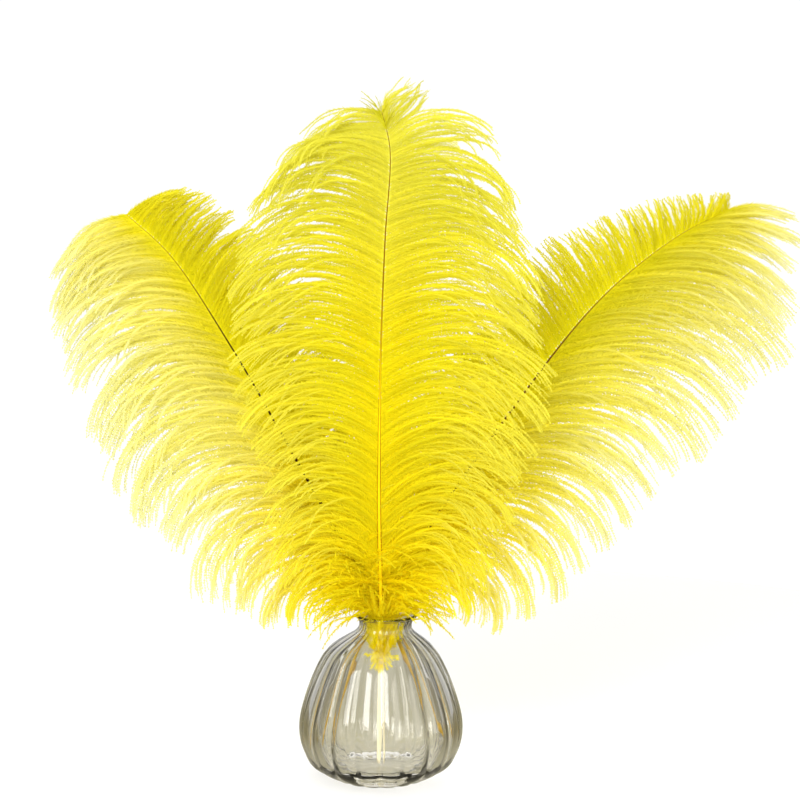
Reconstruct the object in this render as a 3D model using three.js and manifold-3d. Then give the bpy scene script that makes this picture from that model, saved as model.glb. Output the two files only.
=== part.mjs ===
// Three dyed ostrich feathers standing in a ribbed glass bud vase.
// Millimetres, +Z up. The origin is the centre of the vase's flat foot, and the front looks along -Y.
// Each feather grew as one piece: a tapering shaft and two vanes whose barbs hang together in pointed locks.
import * as THREE from "three";
import { mergeVertices } from "three/addons/utils/BufferGeometryUtils.js";
import Module from "manifold-3d";

const wasm = await Module();
wasm.setup();

// Vase: driving dimensions
const VASE_HEIGHT = 95;
const FOOT_RADIUS = 28;
const HEEL_RADIUS = 43;
const HEEL_HEIGHT = 10.5;
const BELLY_RADIUS = 47;
const BELLY_HEIGHT = 34;
const SHOULDER_RADIUS = 34;
const SHOULDER_HEIGHT = 70;
const NECK_RADIUS = 16;
const NECK_HEIGHT = 86;
const LIP_RADIUS = 18;
const WALL = 3;
const NECK_WALL = 2.4;
const FLOOR = 8;
const LIP_SHIFT = 3.2; // the mouth was drawn a little to the right when the glass was worked
const RIBS = 18;
const FACETS_PER_RIB = 3;
const RIB_DEPTH = 1.5;
const OUTER_STEPS = 11;
const INNER_STEPS = 8;

// Feathers: sizes that all three share
const LOCKS = 20; // locks on each side of a shaft
const LOCK_STATIONS = [0, 0.2, 0.42, 0.64, 0.84, 1]; // shares of a barb's length
const PARTING = 2; // the station where the web parts into separate locks
const LOCK_THICKNESS = 1.1; // at the ridge, by the shaft
const WEB_THICKNESS = 0.45;
const LOCK_REACH = 0.07; // how much longer or shorter a lock may be, as a share of its length
const LOCK_SWAY = 3.2; // how far a lock's tip strays along the shaft
const LOCK_LIFT = 4; // how far a lock's tip stands out of the vane
const BEND_POWER = 1.5; // a barb is straighter by the shaft and bends more towards its tip
const BEND_STEPS = 40;
const SHAFT_SIDES = 6;
const SHAFT_STEPS = 18;
const QUILL_TIP_RADIUS = 1.1;
const SHAFT_RADIUS = 1.55; // at the vase's mouth
const SHAFT_TIP_RADIUS = 0.4;

// Each vane row: place along the shaft from 0 at the lowest down to 1 at the tip, the barb's length,
// the angle at which it leaves the shaft, and the angle by which it then bends over (degrees).
// cup is how far the barbs' tips come forward out of the feather's plane.
const FEATHERS = [
  {
    name: "centre_feather",
    shaft: [[0.5, -5, 8.6], [0.2, -8.2, 94.5], [-0.8, -12, 163], [0.4, -18, 250], [2.8, -21, 310.6],
      [5.6, -19, 360], [1, -7, 381]],
    quill: 70,
    facing: [0, -1, 0],
    left: {
      cup: 14,
      rows: [[0, 78, 4, 172], [0.08, 80, 20, 150], [0.25, 92, 40, 108], [0.5, 96, 58, 84], [0.75, 88, 60, 92],
        [0.9, 78, 56, 116], [0.97, 62, 58, 118], [1, 26, 34, 80]],
    },
    right: {
      cup: 14,
      rows: [[0, 78, 8, 170], [0.08, 82, 22, 150], [0.25, 96, 40, 106], [0.5, 104, 58, 82], [0.75, 98, 60, 92],
        [0.9, 84, 56, 116], [0.97, 58, 62, 116], [1, 24, 34, 80]],
    },
  },
  {
    name: "left_feather",
    shaft: [[41, -4, 22.2], [3, -4.2, 93.3], [-47.8, 0, 183.7], [-86, 8, 249.6], [-120.5, 16, 300.5],
      [-146, 23, 323.5]],
    quill: 91,
    facing: [-0.1, -1, 0],
    left: {
      cup: 10,
      rows: [[0, 66, 28, 132], [0.15, 96, 32, 124], [0.4, 113, 35, 112], [0.65, 106, 36, 106], [0.85, 86, 38, 100],
        [1, 46, 52, 66]],
    },
    right: {
      cup: -2,
      rows: [[0, 44, 22, 70], [0.2, 60, 44, 50], [0.45, 62, 50, 42], [0.7, 53, 54, 40], [0.88, 43, 66, 40],
        [1, 38, 98, 40]],
    },
  },
  {
    name: "right_feather",
    shaft: [[-38, -0.6, 14.2], [-5.1, -0.4, 92.1], [64, 8, 196.4], [126, 19, 274.6], [171.5, 27, 310.9],
      [200, 33, 325]],
    quill: 96,
    facing: [0.1, -1, 0],
    left: {
      cup: -8,
      rows: [[0, 44, 26, 80], [0.2, 58, 54, 46], [0.45, 52, 66, 26], [0.7, 41, 70, 16], [0.88, 27, 66, 14],
        [1, 18, 30, 14]],
    },
    right: {
      cup: 10,
      rows: [[0, 68, 26, 134], [0.15, 102, 29, 114], [0.4, 122, 31, 92], [0.65, 122, 31, 78], [0.85, 98, 27, 66],
        [1, 42, 8, 34]],
    },
  },
];

const YELLOW = new THREE.MeshStandardMaterial({ color: 0xf4e01c, roughness: 0.75, metalness: 0 });
const GLASS = new THREE.MeshStandardMaterial({
  color: 0xdfdccd, roughness: 0.05, metalness: 0, transparent: true, opacity: 0.35,
});

// Joining and measuring helpers

// A closed triangle mesh as a solid that can be joined.
function solidOf(geometry) {
  const bare = geometry.clone();
  bare.deleteAttribute("normal");
  bare.deleteAttribute("uv");
  const merged = mergeVertices(bare, 1e-4);
  return new wasm.Manifold(new wasm.Mesh({
    numProp: 3,
    vertProperties: new Float32Array(merged.attributes.position.array),
    triVerts: new Uint32Array(merged.index.array),
  }));
}

// A joined solid as a geometry that can be drawn.
function geometryOf(solid) {
  const mesh = solid.getMesh();
  const geometry = new THREE.BufferGeometry();
  geometry.setAttribute("position", new THREE.BufferAttribute(new Float32Array(mesh.vertProperties), 3));
  geometry.setIndex(new THREE.BufferAttribute(new Uint32Array(mesh.triVerts), 1));
  geometry.computeVertexNormals();
  return geometry;
}

// A number from -1 to 1 that looks random and is always the same for the same seed.
function stray(seed) {
  const wave = Math.sin(seed * 127.1 + 311.7) * 43758.5453;
  return 2 * (wave - Math.floor(wave)) - 1;
}

// The values of a vane's rows at place u, in a straight line between the rows on either side.
function rowAt(rows, u) {
  const next = Math.max(1, rows.findIndex((row) => row[0] >= u));
  const [before, after] = [rows[next - 1], rows[next]];
  const share = THREE.MathUtils.clamp((u - before[0]) / (after[0] - before[0]), 0, 1);
  return before.map((value, i) => THREE.MathUtils.lerp(value, after[i], share));
}

// Vase

// The glass in section: from the middle of the foot, up the outside, over the lip and down the inside.
function vaseSection() {
  const outer = new THREE.SplineCurve([
    new THREE.Vector2(FOOT_RADIUS, 0),
    new THREE.Vector2(HEEL_RADIUS, HEEL_HEIGHT),
    new THREE.Vector2(BELLY_RADIUS, BELLY_HEIGHT),
    new THREE.Vector2(SHOULDER_RADIUS, SHOULDER_HEIGHT),
    new THREE.Vector2(NECK_RADIUS, NECK_HEIGHT),
    new THREE.Vector2(LIP_RADIUS, VASE_HEIGHT),
  ]);
  const inner = new THREE.SplineCurve([
    new THREE.Vector2(LIP_RADIUS - NECK_WALL, VASE_HEIGHT),
    new THREE.Vector2(NECK_RADIUS - NECK_WALL, NECK_HEIGHT),
    new THREE.Vector2(SHOULDER_RADIUS - WALL, SHOULDER_HEIGHT - WALL / 2),
    new THREE.Vector2(BELLY_RADIUS - WALL, BELLY_HEIGHT),
    new THREE.Vector2(HEEL_RADIUS - WALL, HEEL_HEIGHT + WALL),
    new THREE.Vector2(FOOT_RADIUS, FLOOR),
  ]);
  return [
    new THREE.Vector2(0, 0),
    ...outer.getPoints(OUTER_STEPS),
    ...inner.getPoints(INNER_STEPS),
    new THREE.Vector2(0, FLOOR),
  ];
}

// Ribs press the outside in along straight grooves that fade out towards the lip.
function vaseGeometry() {
  const section = vaseSection();
  const lathe = new THREE.LatheGeometry(section, RIBS * FACETS_PER_RIB);
  const place = lathe.attributes.position;
  const lastOuter = OUTER_STEPS + 1;
  for (let i = 0; i < place.count; i++) {
    const onOutside = i % section.length <= lastOuter;
    const [x, height, z] = [place.getX(i), place.getY(i), place.getZ(i)];
    const radius = Math.hypot(x, z);
    const groove = ((1 + Math.cos(RIBS * Math.atan2(x, z))) / 2) ** 2;
    const fade = 1 - THREE.MathUtils.smoothstep(height, NECK_HEIGHT - WALL, VASE_HEIGHT);
    const pressed = onOutside ? (RIB_DEPTH / BELLY_RADIUS) * groove * fade : 0;
    const shift = LIP_SHIFT * THREE.MathUtils.smoothstep(height, SHOULDER_HEIGHT, VASE_HEIGHT);
    place.setXYZ(i, x * (1 - pressed) + (radius > 0 ? shift : 0), height, z * (1 - pressed));
  }
  return lathe.rotateX(Math.PI / 2);
}

// Feathers

// Where a feather's shaft is at place u of its vanes, with the directions along it, to its right and forward.
function shaftFrame(feather, u) {
  const curve = feather.curve;
  const length = curve.getLength();
  const along = THREE.MathUtils.clamp((feather.quill + u * (length - feather.quill)) / length, 0, 1);
  const tangent = curve.getTangentAt(along);
  const front = new THREE.Vector3(...feather.facing);
  front.addScaledVector(tangent, -front.dot(tangent)).normalize();
  return {
    along,
    point: curve.getPointAt(along),
    tangent,
    front,
    right: new THREE.Vector3().crossVectors(tangent, front),
  };
}

// The shaft's radius at a share of its whole length: thickest where it leaves the quill.
function shaftRadius(feather, along) {
  const mouth = feather.quill / feather.curve.getLength();
  return along < mouth
    ? THREE.MathUtils.lerp(QUILL_TIP_RADIUS, SHAFT_RADIUS, along / mouth)
    : THREE.MathUtils.lerp(SHAFT_RADIUS, SHAFT_TIP_RADIUS, (along - mouth) / (1 - mouth));
}

// A tapering tube along the shaft's curve, closed at both ends.
function shaftGeometry(feather) {
  const place = [];
  const faces = [];
  const ends = [feather.curve.getPointAt(0), feather.curve.getPointAt(1)];
  for (let step = 0; step <= SHAFT_STEPS; step++) {
    const along = step / SHAFT_STEPS;
    const tangent = feather.curve.getTangentAt(along);
    const front = new THREE.Vector3(...feather.facing);
    front.addScaledVector(tangent, -front.dot(tangent)).normalize();
    const right = new THREE.Vector3().crossVectors(tangent, front);
    const centre = feather.curve.getPointAt(along);
    for (let side = 0; side < SHAFT_SIDES; side++) {
      const turn = (2 * Math.PI * side) / SHAFT_SIDES;
      const radius = shaftRadius(feather, along);
      const rim = centre.clone()
        .addScaledVector(right, radius * Math.cos(turn))
        .addScaledVector(front, -radius * Math.sin(turn));
      place.push(...rim.toArray());
    }
  }
  const first = place.length / 3;
  place.push(...ends[0].toArray(), ...ends[1].toArray());
  for (let side = 0; side < SHAFT_SIDES; side++) {
    const beside = (side + 1) % SHAFT_SIDES;
    for (let step = 0; step < SHAFT_STEPS; step++) {
      const [low, high] = [step * SHAFT_SIDES, (step + 1) * SHAFT_SIDES];
      faces.push(low + side, low + beside, high + beside, low + side, high + beside, high + side);
    }
    const top = SHAFT_STEPS * SHAFT_SIDES;
    faces.push(first, beside, side, first + 1, top + side, top + beside);
  }
  return triangles(place, faces);
}

function triangles(place, faces) {
  const geometry = new THREE.BufferGeometry();
  geometry.setAttribute("position", new THREE.Float32BufferAttribute(place, 3));
  geometry.setIndex(faces);
  return geometry;
}

// One barb's course from the shaft outwards, at each of the lock stations: it leaves at its start angle
// and turns away from the feather's tip as it goes, by the bend angle times its length's share to a power.
function barbCourse(feather, sign, u) {
  const vane = sign < 0 ? feather.left : feather.right;
  const [, length, start, bend] = rowAt(vane.rows, u);
  const frame = shaftFrame(feather, u);
  const course = [];
  let [forwards, outwards, station] = [0, 0, 0];
  for (let step = 0; step <= BEND_STEPS; step++) {
    const share = step / BEND_STEPS;
    const angle = THREE.MathUtils.degToRad(start + bend * share ** BEND_POWER);
    if (share >= LOCK_STATIONS[station] - 1e-9) {
      const point = frame.point.clone()
        .addScaledVector(frame.tangent, forwards)
        .addScaledVector(frame.right, sign * outwards)
        .addScaledVector(frame.front, vane.cup * share ** 2);
      const way = frame.tangent.clone().multiplyScalar(Math.cos(angle))
        .addScaledVector(frame.right, sign * Math.sin(angle));
      course.push({ point, way, frame, length });
      station += 1;
    }
    forwards += (Math.cos(angle) * length) / BEND_STEPS;
    outwards += (Math.sin(angle) * length) / BEND_STEPS;
  }
  return course;
}

// How far lock number k has strayed from the smooth vane at a station: longer or shorter, along the shaft, and out.
function lockStray(feather, sign, k, station, at) {
  const loose = THREE.MathUtils.smoothstep(LOCK_STATIONS[station], LOCK_STATIONS[PARTING], 1);
  const seed = feather.seed + (sign < 0 ? 100 : 200) + k;
  return new THREE.Vector3()
    .addScaledVector(at.way, loose * LOCK_REACH * at.length * stray(seed))
    .addScaledVector(at.frame.tangent, loose * LOCK_SWAY * stray(seed + 1000))
    .addScaledVector(at.frame.front, loose * LOCK_LIFT * stray(seed + 2000));
}

// One vane, to the right (sign 1) or left (sign -1) of the shaft: a thin web that parts into ridged, pointed locks.
function vaneGeometry(feather, sign) {
  const place = [];
  const faces = [];
  const tip = LOCK_STATIONS.length - 1;
  const vertex = (point) => place.push(...point.toArray()) / 3 - 1;
  const face = (...corners) => faces.push(...(sign > 0 ? corners : corners.reverse()));
  const quad = (a, b, c, d) => {
    face(a, b, c);
    face(a, c, d);
  };
  const raised = (at, thickness, side) => at.point.clone().addScaledVector(at.frame.front, (side * thickness) / 2);

  const courses = [];
  for (let half = 0; half <= 2 * LOCKS; half++) courses.push(barbCourse(feather, sign, half / (2 * LOCKS)));
  const seams = [];
  for (let edge = 0; edge <= LOCKS; edge++) {
    seams.push(courses[2 * edge].slice(0, PARTING + 1).map((at) => ({
      front: vertex(raised(at, WEB_THICKNESS, 1)),
      back: vertex(raised(at, WEB_THICKNESS, -1)),
    })));
  }

  for (let k = 0; k < LOCKS; k++) {
    const middle = courses[2 * k + 1];
    const strays = middle.map((at, station) => lockStray(feather, sign, k, station, at));
    const ridge = middle.slice(0, tip).map((at, station) => {
      const thickness = LOCK_THICKNESS * (1 - 0.5 * LOCK_STATIONS[station]);
      return {
        front: vertex(raised(at, thickness, 1).add(strays[station])),
        back: vertex(raised(at, thickness, -1).add(strays[station])),
      };
    });
    const point = vertex(middle[tip].point.clone().add(strays[tip]));
    // Past the parting each edge is one line that narrows towards the lock's own middle.
    const edges = [k, k + 1].map((edge) => courses[2 * edge].map((at, station) => {
      if (station <= PARTING) return seams[edge][station];
      if (station === tip) return { front: point, back: point };
      const narrowing = (LOCK_STATIONS[station] - LOCK_STATIONS[PARTING]) / (1 - LOCK_STATIONS[PARTING]);
      const own = vertex(at.point.clone().lerp(middle[station].point, narrowing).add(strays[station]));
      return { front: own, back: own };
    }));
    const spine = [...ridge, { front: point, back: point }];
    const [low, high] = edges;
    for (let j = 0; j < tip - 1; j++) {
      quad(low[j].front, low[j + 1].front, spine[j + 1].front, spine[j].front);
      quad(spine[j].front, spine[j + 1].front, high[j + 1].front, high[j].front);
      quad(low[j + 1].back, low[j].back, spine[j].back, spine[j + 1].back);
      quad(spine[j + 1].back, spine[j].back, high[j].back, high[j + 1].back);
    }
    face(low[tip - 1].front, point, spine[tip - 1].front);
    face(spine[tip - 1].front, point, high[tip - 1].front);
    face(point, low[tip - 1].back, spine[tip - 1].back);
    face(point, spine[tip - 1].back, high[tip - 1].back);
    // The cleft beside each lock, where the web's two faces close to one edge.
    face(low[PARTING].front, low[PARTING].back, low[PARTING + 1].front);
    face(high[PARTING].back, high[PARTING].front, high[PARTING + 1].front);
    // The root, which lies inside the shaft.
    quad(low[0].front, spine[0].front, spine[0].back, low[0].back);
    quad(spine[0].front, high[0].front, high[0].back, spine[0].back);
  }
  for (let j = 0; j < PARTING; j++) {
    const [bottom, top] = [seams[0], seams[LOCKS]];
    quad(bottom[j].front, bottom[j].back, bottom[j + 1].back, bottom[j + 1].front);
    quad(top[j].back, top[j].front, top[j + 1].front, top[j + 1].back);
  }
  return triangles(place, faces);
}

// A whole feather: the shaft with a vane fused to each side.
function featherGeometry(feather) {
  const parts = [shaftGeometry(feather), vaneGeometry(feather, 1), vaneGeometry(feather, -1)];
  return geometryOf(parts.map(solidOf).reduce((whole, part) => whole.add(part)));
}

// The arrangement

const arrangement = new THREE.Group();

const vase = new THREE.Mesh(vaseGeometry(), GLASS);
vase.name = "vase";
arrangement.add(vase);

FEATHERS.forEach((feather, number) => {
  feather.seed = 300 * number;
  feather.curve = new THREE.CatmullRomCurve3(feather.shaft.map((point) => new THREE.Vector3(...point)));
  const mesh = new THREE.Mesh(featherGeometry(feather), YELLOW);
  mesh.name = feather.name;
  arrangement.add(mesh);
});

export default arrangement;
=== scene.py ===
"""Dyed ostrich feathers in a ribbed glass bud vase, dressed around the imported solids.

Sizes in the dataclasses are millimetres in the part's own frame: the origin is the centre of the vase's
foot, +Z is up, and the front looks along -Y. Meshes are written in metres.
"""

from __future__ import annotations

import logging
import math
from dataclasses import dataclass, field
from enum import Enum
from typing import NamedTuple

import bpy
import numpy as np
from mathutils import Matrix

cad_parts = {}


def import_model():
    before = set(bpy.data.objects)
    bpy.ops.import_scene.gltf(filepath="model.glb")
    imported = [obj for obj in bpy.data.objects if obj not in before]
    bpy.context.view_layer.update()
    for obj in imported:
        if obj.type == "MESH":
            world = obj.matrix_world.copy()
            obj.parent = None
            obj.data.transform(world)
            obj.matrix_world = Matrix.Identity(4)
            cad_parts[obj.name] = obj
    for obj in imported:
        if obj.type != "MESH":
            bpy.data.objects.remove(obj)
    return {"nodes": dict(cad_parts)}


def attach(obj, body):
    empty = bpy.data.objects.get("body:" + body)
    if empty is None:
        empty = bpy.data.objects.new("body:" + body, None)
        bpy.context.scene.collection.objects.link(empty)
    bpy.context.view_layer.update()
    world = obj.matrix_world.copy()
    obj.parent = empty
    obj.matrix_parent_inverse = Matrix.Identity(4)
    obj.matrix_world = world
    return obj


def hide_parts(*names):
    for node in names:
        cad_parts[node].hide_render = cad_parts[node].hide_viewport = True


LOG = logging.getLogger("plumes")
MM = 0.001
BODY = "root"
UV_NAME = "OFBake"

Rows = tuple[tuple[float, float, float, float], ...]
Point = tuple[float, float, float]
Colour = tuple[float, float, float]


class Side(Enum):
    """Which side of its shaft a vane grows on, seen from the front."""

    LEFT = -1
    RIGHT = 1


class Slot(Enum):
    """The record's material slots."""

    GLASS = "glass"
    PLUME = "plume"


# Array helpers


def unit(vectors: np.ndarray) -> np.ndarray:
    """Vectors of length one along the last axis.

    Args:
        vectors: any array whose last axis holds x, y and z.

    Returns:
        The same array with each vector divided by its own length.
    """
    return vectors / np.maximum(np.linalg.norm(vectors, axis=-1, keepdims=True), 1e-12)


def smoothstep(low: float, high: float, value: np.ndarray) -> np.ndarray:
    """An S-shaped ramp: 0 at low, 1 at high, and 3x^2 - 2x^3 of the share x in between.

    Args:
        low: where the ramp starts.
        high: where it ends.
        value: the numbers to map.

    Returns:
        Numbers from 0 to 1.
    """
    share = np.clip((np.asarray(value, float) - low) / (high - low), 0.0, 1.0)
    return share * share * (3.0 - 2.0 * share)


def stray(seed: np.ndarray) -> np.ndarray:
    """A number from -1 to 1 that looks random: the fraction of a large multiple of a sine, as the solids use.

    Args:
        seed: whole numbers.

    Returns:
        One number for each seed.
    """
    wave = np.sin(np.asarray(seed, float) * 127.1 + 311.7) * 43758.5453
    return 2.0 * (wave - np.floor(wave)) - 1.0


def running_sum(values: np.ndarray, step: float) -> np.ndarray:
    """The integral of evenly spaced values along the last axis by the trapezium rule, starting from 0.

    Args:
        values: the integrand.
        step: the spacing of its samples.

    Returns:
        An array of the same shape.
    """
    halves = 0.5 * step * (values[..., 1:] + values[..., :-1])
    start = np.zeros(values.shape[:-1] + (1,))
    return np.concatenate([start, np.cumsum(halves, axis=-1)], axis=-1)


def linear(colour: Colour) -> tuple[float, float, float, float]:
    """A display colour (0 to 1) as the linear RGBA that a shader socket takes."""
    return (*(c / 12.92 if c <= 0.04045 else ((c + 0.055) / 1.055) ** 2.4 for c in colour), 1.0)


# Mesh and material helpers


def add_piece(
    name: str,
    points: np.ndarray,
    faces: np.ndarray,
    material: bpy.types.Material,
    uv: np.ndarray | None = None,
    normals: np.ndarray | None = None,
) -> bpy.types.Object:
    """Puts arrays into a new mesh object at the origin.

    Args:
        name: the piece's name.
        points: vertices in millimetres, one row each.
        faces: vertex numbers, one row for each face, all with the same count of corners.
        material: the finish.
        uv: one pair for each vertex, or None.
        normals: one shading normal for each vertex, or None for the mesh's own smooth ones.

    Returns:
        The new object, linked to the scene.
    """
    mesh = bpy.data.meshes.new(name)
    corners = faces.shape[1]
    mesh.vertices.add(len(points))
    mesh.vertices.foreach_set("co", (points * MM).astype(np.float32).ravel())
    mesh.loops.add(faces.size)
    mesh.loops.foreach_set("vertex_index", faces.astype(np.int32).ravel())
    mesh.polygons.add(len(faces))
    mesh.polygons.foreach_set("loop_start", np.arange(0, faces.size, corners, dtype=np.int32))
    mesh.polygons.foreach_set("use_smooth", np.ones(len(faces), dtype=bool))
    if uv is not None:
        layer = mesh.uv_layers.new(name=UV_NAME)
        layer.uv.foreach_set("vector", uv[faces.ravel()].astype(np.float32).ravel())
    mesh.update(calc_edges=True)
    if normals is not None:
        mesh.normals_split_custom_set_from_vertices(normals.astype(np.float32))
    mesh.materials.append(material)
    piece = bpy.data.objects.new(name, mesh)
    bpy.context.scene.collection.objects.link(piece)
    return piece


def settle(piece: bpy.types.Object, node: str) -> bpy.types.Object:
    """Rides a piece on the body, in place of its CAD node.

    Args:
        piece: the new piece.
        node: the CAD node that it stands for.

    Returns:
        The same piece.
    """
    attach(piece, BODY)
    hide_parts(node)
    LOG.info("%s: %d faces, stands for %s", piece.name, len(piece.data.polygons), node)
    return piece


def tube_faces(rows: int, columns: int) -> np.ndarray:
    """The triangles of a closed tube: rings of vertices numbered row by row, then one vertex for each end.

    Args:
        rows: count of rings.
        columns: count of vertices in a ring.

    Returns:
        Three vertex numbers for each triangle: two triangles for each cell between the rings, then a fan on
        the first ring and one on the last.
    """
    row = np.arange(rows - 1)[:, None] * columns
    here = np.arange(columns)
    beside = (here + 1) % columns
    a, b, c, d = row + here, row + beside, row + columns + beside, row + columns + here
    first, last = np.full(columns, rows * columns), (rows - 1) * columns
    triples = ((a, b, c), (a, c, d), (first, beside, here), (first + 1, last + here, last + beside))
    return np.concatenate([np.stack(corners, axis=-1).reshape(-1, 3) for corners in triples])


class Tree:
    """A small wrapper that adds nodes and links to a node tree."""

    def __init__(self, tree: bpy.types.NodeTree) -> None:
        """Keeps the tree."""
        self.tree = tree

    def add(self, kind: str, **settings: object) -> bpy.types.Node:
        """Adds a node and sets its properties.

        Args:
            kind: the node's type name.
            **settings: its properties by name.

        Returns:
            The node.
        """
        node = self.tree.nodes.new(kind)
        for key, value in settings.items():
            setattr(node, key, value)
        return node

    def link(self, source: bpy.types.NodeSocket, target: bpy.types.NodeSocket) -> None:
        """Joins two sockets."""
        self.tree.links.new(source, target)

    def feed(self, socket: bpy.types.NodeSocket, value: object) -> None:
        """Links another socket into this one, or sets it to a plain value."""
        if isinstance(value, bpy.types.NodeSocket):
            self.link(value, socket)
        else:
            socket.default_value = value

    def math(self, operation: str, a: object, b: object = 0.0) -> bpy.types.NodeSocket:
        """Adds a Math node.

        Args:
            operation: its operation.
            a: a socket or a number.
            b: a socket or a number.

        Returns:
            Its output socket.
        """
        node = self.add("ShaderNodeMath", operation=operation)
        for socket, value in zip(node.inputs, (a, b)):
            self.feed(socket, value)
        return node.outputs[0]

    def ramp(self, value: bpy.types.NodeSocket, low: float, high: float) -> bpy.types.NodeSocket:
        """A smooth ramp of a value from 0 at low to 1 at high.

        Args:
            value: the socket to map.
            low: where the ramp starts.
            high: where it ends.

        Returns:
            The ramp's output socket.
        """
        node = self.add("ShaderNodeMapRange", interpolation_type="SMOOTHSTEP")
        for label, number in (("Value", value), ("From Min", low), ("From Max", high)):
            self.feed(node.inputs[label], number)
        return node.outputs["Result"]

    def mix(self, factor: object, a: object, b: object) -> bpy.types.NodeSocket:
        """Adds a colour Mix node.

        Args:
            factor: a socket or a number.
            a: a socket or an RGBA colour.
            b: a socket or an RGBA colour.

        Returns:
            The mixed colour's socket.
        """
        node = self.add("ShaderNodeMix", data_type="RGBA")
        for number, value in ((0, factor), (6, a), (7, b)):
            self.feed(node.inputs[number], value)
        return node.outputs[2]

    def own_map(self) -> tuple[bpy.types.NodeSocket, bpy.types.NodeSocket]:
        """The two coordinates of the piece's own map."""
        split = self.add("ShaderNodeSeparateXYZ")
        self.link(self.add("ShaderNodeUVMap", uv_map=UV_NAME).outputs["UV"], split.inputs[0])
        return split.outputs["X"], split.outputs["Y"]

    def streaks(
        self, x: bpy.types.NodeSocket, y: bpy.types.NodeSocket, stretch: tuple[float, float], detail: float
    ) -> bpy.types.NodeSocket:
        """Noise on two stretched coordinates, less a half, so that its middle is 0.

        Args:
            x: the first coordinate.
            y: the second coordinate.
            stretch: what each is multiplied by.
            detail: how many finer layers the noise has.

        Returns:
            The noise's socket.
        """
        at = self.add("ShaderNodeCombineXYZ")
        self.link(self.math("MULTIPLY", x, stretch[0]), at.inputs["X"])
        self.link(self.math("MULTIPLY", y, stretch[1]), at.inputs["Y"])
        noise = self.add("ShaderNodeTexNoise")
        noise.inputs["Scale"].default_value = 1.0
        noise.inputs["Detail"].default_value = detail
        self.link(at.outputs[0], noise.inputs["Vector"])
        return self.math("SUBTRACT", noise.outputs[0], 0.5)


def new_material(name: str) -> tuple[bpy.types.Material, Tree, bpy.types.Node, bpy.types.Node]:
    """A material with an empty Principled shader.

    Args:
        name: the material's name.

    Returns:
        The material, its tree, its Principled node and its output node.
    """
    material = bpy.data.materials.new(name)
    material.use_nodes = True
    tree = Tree(material.node_tree)
    material.node_tree.nodes.clear()
    shader = tree.add("ShaderNodeBsdfPrincipled")
    output = tree.add("ShaderNodeOutputMaterial")
    tree.link(shader.outputs["BSDF"], output.inputs["Surface"])
    return material, tree, shader, output


# Finishes

DYE_AND_LIGHT_COLOURS = ("Foot", "Deep", "Mid", "Pale", "Top")
DYE_AND_LIGHT_SHARES = ("Paling", "Top_Share", "Unevenness")


def dye_and_light_group() -> bpy.types.NodeTree:
    """Dyed colour on barbs, with painted shade and light, as a node group that every plume finish shares.

    The map's first coordinate is the share along a barb and the second its place along the shaft. The colour
    goes from Deep at the shaft to Mid and to Pale at the barb's end, towards Foot low on the feather and
    towards Top at its tip. The step from Deep to Pale is painted shade and painted light: deeper where the
    barbs crowd by the shaft, paler at their ends where light comes through. Each barb is a little lighter or
    darker than the next one, and broad streaks run along the locks.

    Returns:
        The node group.
    """
    group = bpy.data.node_groups.new("Dyed_Barbs_And_Painted_Light", "ShaderNodeTree")
    face = group.interface
    for label in DYE_AND_LIGHT_COLOURS:
        face.new_socket(name=label, in_out="INPUT", socket_type="NodeSocketColor")
    for label in ("Barbs", *DYE_AND_LIGHT_SHARES):
        face.new_socket(name=label, in_out="INPUT", socket_type="NodeSocketFloat")
    face.new_socket(name="Color", in_out="OUTPUT", socket_type="NodeSocketColor")
    tree = Tree(group)
    given = tree.add("NodeGroupInput").outputs
    result = tree.add("NodeGroupOutput")
    share, place = tree.own_map()
    one_barb = tree.add("ShaderNodeTexWhiteNoise", noise_dimensions="1D")
    tree.link(tree.math("FLOOR", tree.math("MULTIPLY", place, given["Barbs"])), one_barb.inputs["W"])
    streak = tree.streaks(share, place, (1.3, 46.0), 3.0)
    rough_share = tree.math("ADD", share, tree.math("MULTIPLY", streak, 0.5))
    # Painted shade and light: Deep where the barbs crowd by the shaft, Pale towards their ends where light
    # comes through.
    inner = tree.ramp(rough_share, 0.02, 0.4)
    outer = tree.math("MULTIPLY", tree.ramp(rough_share, 0.35, 1.0), given["Paling"])
    colour = tree.mix(inner, given["Deep"], given["Mid"])
    colour = tree.mix(outer, colour, given["Pale"])
    low = tree.math("SUBTRACT", tree.math("SUBTRACT", 1.0, place), tree.math("MULTIPLY", share, 0.3))
    colour = tree.mix(tree.ramp(low, 0.45, 0.95), colour, given["Foot"])
    high = tree.math("MULTIPLY", tree.ramp(place, 0.5, 1.0), given["Top_Share"])
    colour = tree.mix(high, colour, given["Top"])
    shade = tree.math("SUBTRACT", one_barb.outputs["Value"], 0.5)
    shade = tree.math("MULTIPLY", shade, given["Unevenness"])
    lighter = tree.add("ShaderNodeHueSaturation")
    tree.link(tree.math("ADD", 1.0, shade), lighter.inputs["Value"])
    tree.link(colour, lighter.inputs["Color"])
    tree.link(lighter.outputs[0], result.inputs["Color"])
    return group


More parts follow.
